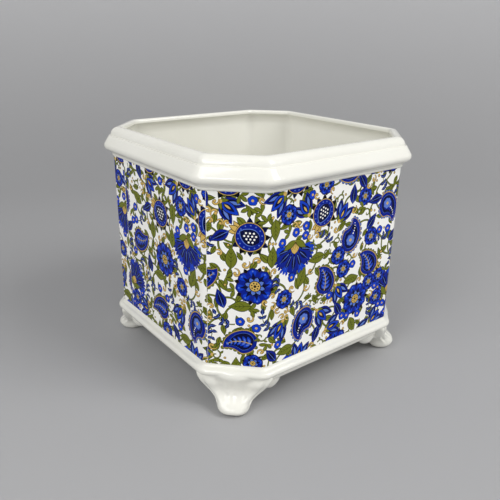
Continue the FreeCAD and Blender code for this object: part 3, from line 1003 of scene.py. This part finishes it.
def covered(points, patch):
    """Which points lie within a patch of ink."""
    x, y = points[:, 0, None], points[:, 1, None]
    ax, ay = patch[:, 0], patch[:, 1]
    bx, by = np.roll(ax, -1), np.roll(ay, -1)
    side = (bx - ax) * (y - ay) - (x - ax) * (by - ay)
    rising = ((ay <= y) & (by > y) & (side > 0)).sum(axis=1)
    falling = ((ay > y) & (by <= y) & (side < 0)).sum(axis=1)
    return rising != falling


# Points closer than this are one point, and points closer than this to a sheet's edge lie on it.
MERGE_DISTANCE = 1e-4
EDGE_DISTANCE = 1e-3
GROUND = 0
OFF_SHEET = -1


def cut_up(corners, lines):
    """Triangles between lines, as an array of places and an array of their three corners."""
    found = delaunay_2d_cdt([Vector(c) for c in corners], lines, [], 0, MERGE_DISTANCE, False)
    return np.array([tuple(c) for c in found[0]]), np.array(found[2])


def inked(places, triangles, patches, start, end):
    """Number of the topmost ink on each triangle, with a mark on those that lie off the sheet."""
    middles = places[triangles].mean(axis=1)
    order = np.argsort(middles[:, 0])
    middles = middles[order]
    found = np.full(len(middles), GROUND)
    for number, patch in patches:
        low, high = patch.min(axis=0), patch.max(axis=0)
        first, last = np.searchsorted(middles[:, 0], (low[0], high[0]))
        heights = middles[first:last, 1]
        near = first + np.nonzero((heights > low[1]) & (heights < high[1]))[0]
        if len(near):
            found[near[covered(middles[near], patch)]] = number
    x, y = middles.T
    found[(x < start) | (x > end) | (y < 0) | (y > PRINT_HEIGHT)] = OFF_SHEET
    result = np.empty_like(found)
    result[order] = found
    return result


# The way round starts at the seam beside the front corner face, where the fifth rounding of a ring ends.
SEAM_CORNER = 4
seam_point = SEAM_CORNER * (ARC_STEPS + 3) + ARC_STEPS + 1
rings = rings_along([(WALL_HALF, 0), (WALL_HALF + SHEET_THICKNESS, 0)], OUTER_CORE)
wall_ring, face_ring = [ring[seam_point:] + ring[:seam_point + 1] for ring in rings]
distances = [0.0]
for here, there in zip(wall_ring, wall_ring[1:]):
    distances.append(distances[-1] + (there - here).length / MM)


def on_ring(ring, distance, height):
    """Point on a ring at a distance round the walls, at a height on the print."""
    index = min(max(bisect.bisect_right(distances, distance) - 1, 0), len(distances) - 2)
    share = (distance - distances[index]) / (distances[index + 1] - distances[index])
    point = ring[index].lerp(ring[index + 1], share)
    return (point.x, point.y, (PRINT_BOTTOM + height) * MM)


def patches_between(start, end, offset):
    """Patches of ink between two distances round the walls, each with the number of its ink."""
    numbers = {colour: number for number, colour in enumerate(INKS)}
    patches = []
    for colour, points in drawn:
        patch = np.array(points)
        low, high = patch.min(axis=0), patch.max(axis=0)
        if high[1] < 0 or low[1] > PRINT_HEIGHT:
            continue
        repeat = math.ceil((start - offset - high[0]) / SHEET_PERIOD)
        while low[0] + offset + repeat * SHEET_PERIOD < end:
            patches.append((numbers[colour], patch + (offset + repeat * SHEET_PERIOD, 0.0)))
            repeat += 1
    return patches


def ink_edges(triangles, colours):
    """Pairs of corners that have a different ink on either side."""
    edges = {}
    for triangle, colour in zip(triangles.tolist(), colours.tolist()):
        for i in range(3):
            pair = (triangle[i], triangle[i - 1])
            edges.setdefault((min(pair), max(pair)), []).append(colour)
    return [pair for pair, sides in edges.items() if len(set(sides)) > 1]


def flat_print(start, end, folds, patches):
    """Triangles of a sheet laid flat, cut only at its folds and where the ink changes, with their inks."""
    frame_corners = [(start, 0), (end, 0), (end, PRINT_HEIGHT), (start, PRINT_HEIGHT)]
    frame_lines = [(0, 1), (1, 2), (2, 3), (3, 0)]
    for fold in folds:
        frame_lines.append((len(frame_corners), len(frame_corners) + 1))
        frame_corners += [(fold, 0), (fold, PRINT_HEIGHT)]
    corners, lines = list(frame_corners), list(frame_lines)
    for number, patch in patches:
        first = len(corners)
        count = len(patch)
        corners += [tuple(c) for c in patch]
        lines += [(first + i, first + (i + 1) % count) for i in range(count)]
    places, triangles = cut_up(corners, lines)
    lines = ink_edges(triangles, inked(places, triangles, patches, start, end))
    kept = {}
    for place in sorted({i for pair in lines for i in pair}):
        kept[place] = len(frame_corners) + len(kept)
    corners = frame_corners + [tuple(places[i]) for i in kept]
    places, triangles = cut_up(corners, frame_lines + [(kept[a], kept[b]) for a, b in lines])
    return places, triangles, inked(places, triangles, patches, start, end)


def print_sheet(name, start, end, offset):
    """Closed sheet between two distances round the walls, cut from the print at an offset."""
    folds = [d for d in distances if start < d < end]
    places, triangles, colours = flat_print(start, end, folds, patches_between(start, end, offset))
    points, faces, inks, index, rim = [], [], [], {}, {}
    for triangle, colour in zip(triangles.tolist(), colours.tolist()):
        if colour == OFF_SHEET:
            continue
        for i in triangle:
            if i not in index:
                index[i] = len(points)
                points.append(on_ring(face_ring, *places[i]))
        faces.append([index[i] for i in triangle])
        inks.append(colour)
    for i in index:
        s, z = places[i]
        if min(s - start, end - s, z, PRINT_HEIGHT - z) < EDGE_DISTANCE:
            rim[i] = len(points)
            points.append(on_ring(wall_ring, s, z))

    def along_edge(axis, value):
        """Points on one of the sheet's straight edges, in order."""
        found = [i for i in rim if abs(places[i][axis] - value) < EDGE_DISTANCE]
        return sorted(found, key=lambda i: places[i][1 - axis])

    loop = along_edge(1, 0.0) + along_edge(0, end)[1:-1]
    loop += along_edge(1, PRINT_HEIGHT)[::-1] + along_edge(0, start)[-2:0:-1]
    for here, there in zip(loop, loop[1:] + loop[:1]):
        faces.append([index[there], index[here], rim[here], rim[there]])
        inks.append(GROUND)
    stops = [start, *folds, end]
    for low, high in zip(stops, stops[1:]):
        outline = [rim[i] for i in loop if low - EDGE_DISTANCE < places[i][0] < high + EDGE_DISTANCE]
        faces.append(outline[::-1])
        inks.append(GROUND)
    mesh = bpy.data.meshes.new(name)
    mesh.from_pydata(points, [], faces)
    for material in ink_materials:
        mesh.materials.append(material)
    mesh.polygons.foreach_set("material_index", inks)
    piece = bpy.data.objects.new(name, mesh)
    bpy.context.collection.objects.link(piece)
    choose(piece)
    smooth(SMOOTH_ANGLE)
    return piece


ink_materials = []
for colour, shade in INKS.items():
    ink_materials.append(glazed("print_" + colour, paint(*shade), roughness=0.2, gloss=0.12))
# Node of each sheet, and how far on in the print it is cut.
SHEETS = (
    ("transfer_sheet_first", 0.0),
    ("transfer_sheet_second", 43.0),
    ("transfer_sheet_third", 96.0),
    ("transfer_closing_strip", 21.0),
)
girth = distances[-1]
sheet_length = (girth - CLOSING_STRIP_LENGTH) / (len(SHEETS) - 1)
for order, (node, offset) in enumerate(SHEETS):
    start = sheet_length * order
    end = min(start + sheet_length, girth) - SEAM_GAP
    printed = print_sheet(node.replace("transfer", "printed"), start, end, start + offset)
    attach(printed, "root")
    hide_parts(node)


# Floor: a pale studio sheet that curves up into a backdrop all round. It isn't part of the pot.
# Its grey is painted lighter as it rises. This is painted light, standing in for a backdrop lit more brightly
# than the floor.
FLOOR_OPENING = 1.0
FLOOR_REACH = 450.0
SWEEP_RADIUS = 900.0
BACKDROP_TOP = 1500.0
FLOOR_SIDES = 96
FLOOR_TONE = paint(170, 170, 171)
# Lighter grey painted up the backdrop as painted light.
PAINTED_LIGHT_BACKDROP_TONE = paint(226, 226, 227)
PAINTED_LIGHT_RISE = 400.0
profile = [(FLOOR_OPENING, 0.0)] + arc((FLOOR_REACH, SWEEP_RADIUS), SWEEP_RADIUS, -90, 0, 24)
profile += [(FLOOR_REACH + SWEEP_RADIUS, BACKDROP_TOP)]
rings = []
for radius, level in profile:
    turns = [2 * math.pi * side / FLOOR_SIDES for side in range(FLOOR_SIDES)]
    rings.append([Vector((radius * math.cos(turn), radius * math.sin(turn), level)) * MM for turn in turns])
floor = pulled("studio_floor", rings, "open")
smooth(SMOOTH_ANGLE)
sheet = bpy.data.materials.new("studio grey with painted light")
sheet.use_nodes = True
nodes, links = sheet.node_tree.nodes, sheet.node_tree.links
place = nodes.new("ShaderNodeTexCoord")
axes = nodes.new("ShaderNodeSeparateXYZ")
# Painted light: over the first rise in height, the tone turns from the floor's grey to the lighter backdrop
# grey.
rise = nodes.new("ShaderNodeMapRange")
rise.inputs["From Max"].default_value = PAINTED_LIGHT_RISE * MM
painted_light_tone = nodes.new("ShaderNodeMix")
painted_light_tone.data_type = "RGBA"
painted_light_tone.inputs["A"].default_value = FLOOR_TONE
painted_light_tone.inputs["B"].default_value = PAINTED_LIGHT_BACKDROP_TONE
links.new(place.outputs["Object"], axes.inputs["Vector"])
links.new(axes.outputs["Z"], rise.inputs["Value"])
links.new(rise.outputs["Result"], painted_light_tone.inputs["Factor"])
links.new(painted_light_tone.outputs["Result"], nodes["Principled BSDF"].inputs["Base Color"])
nodes["Principled BSDF"].inputs["Roughness"].default_value = 0.8
floor.data.materials.append(sheet)


# Studio light: one large soft box in front on the right, a small fill on the left and a large one high up
# on the left, in a softly lit room. Places are in metres and powers in watts.
AIM = Vector((0, 0, 0.08))
ROOM_LIGHT = 0.38


def soft_box(name, place, size, power):
    """Square lamp that faces the pot."""
    lamp = bpy.data.lights.new(name, "AREA")
    lamp.size = size
    lamp.energy = power
    box = bpy.data.objects.new(name, lamp)
    box.location = place
    box.rotation_euler = (AIM - Vector(place)).to_track_quat("-Z", "Y").to_euler()
    bpy.context.collection.objects.link(box)


soft_box("key box", (0.4, -0.82, 0.9), size=0.6, power=7.8)
soft_box("fill box", (-0.66, -0.3, 0.46), size=0.32, power=1.5)
soft_box("top box", (-0.9, -0.15, 0.95), size=0.6, power=3.2)
world = bpy.data.worlds.new("studio room")
world.use_nodes = True
world.node_tree.nodes["Background"].inputs["Color"].default_value = (1.0, 1.0, 1.0, 1.0)
world.node_tree.nodes["Background"].inputs["Strength"].default_value = ROOM_LIGHT
bpy.context.scene.world = world
bpy.context.scene.view_settings.view_transform = "Standard"


# Camera: where the photograph was taken from, a little above the pot and near its front left corner.
# Its place, its lens and the two directions that turn it were fitted to the pot's edges.
LENS = 40.06
SENSOR_WIDTH = 36.0
eye = Vector((-219.6, -276.7, 202.2)) * MM
right = Vector((0.7919, -0.6105, 0.0141)).normalized()
back = Vector((-0.5728, -0.7345, 0.3639)).normalized()
up = back.cross(right)
camera = bpy.data.cameras.new("camera")
camera.lens = LENS
camera.sensor_width = SENSOR_WIDTH
viewer = bpy.data.objects.new("camera", camera)
viewer.matrix_world = Matrix((
    (right.x, up.x, back.x, eye.x),
    (right.y, up.y, back.y, eye.y),
    (right.z, up.z, back.z, eye.z),
    (0, 0, 0, 1),
))
bpy.context.collection.objects.link(viewer)
bpy.context.scene.camera = viewer
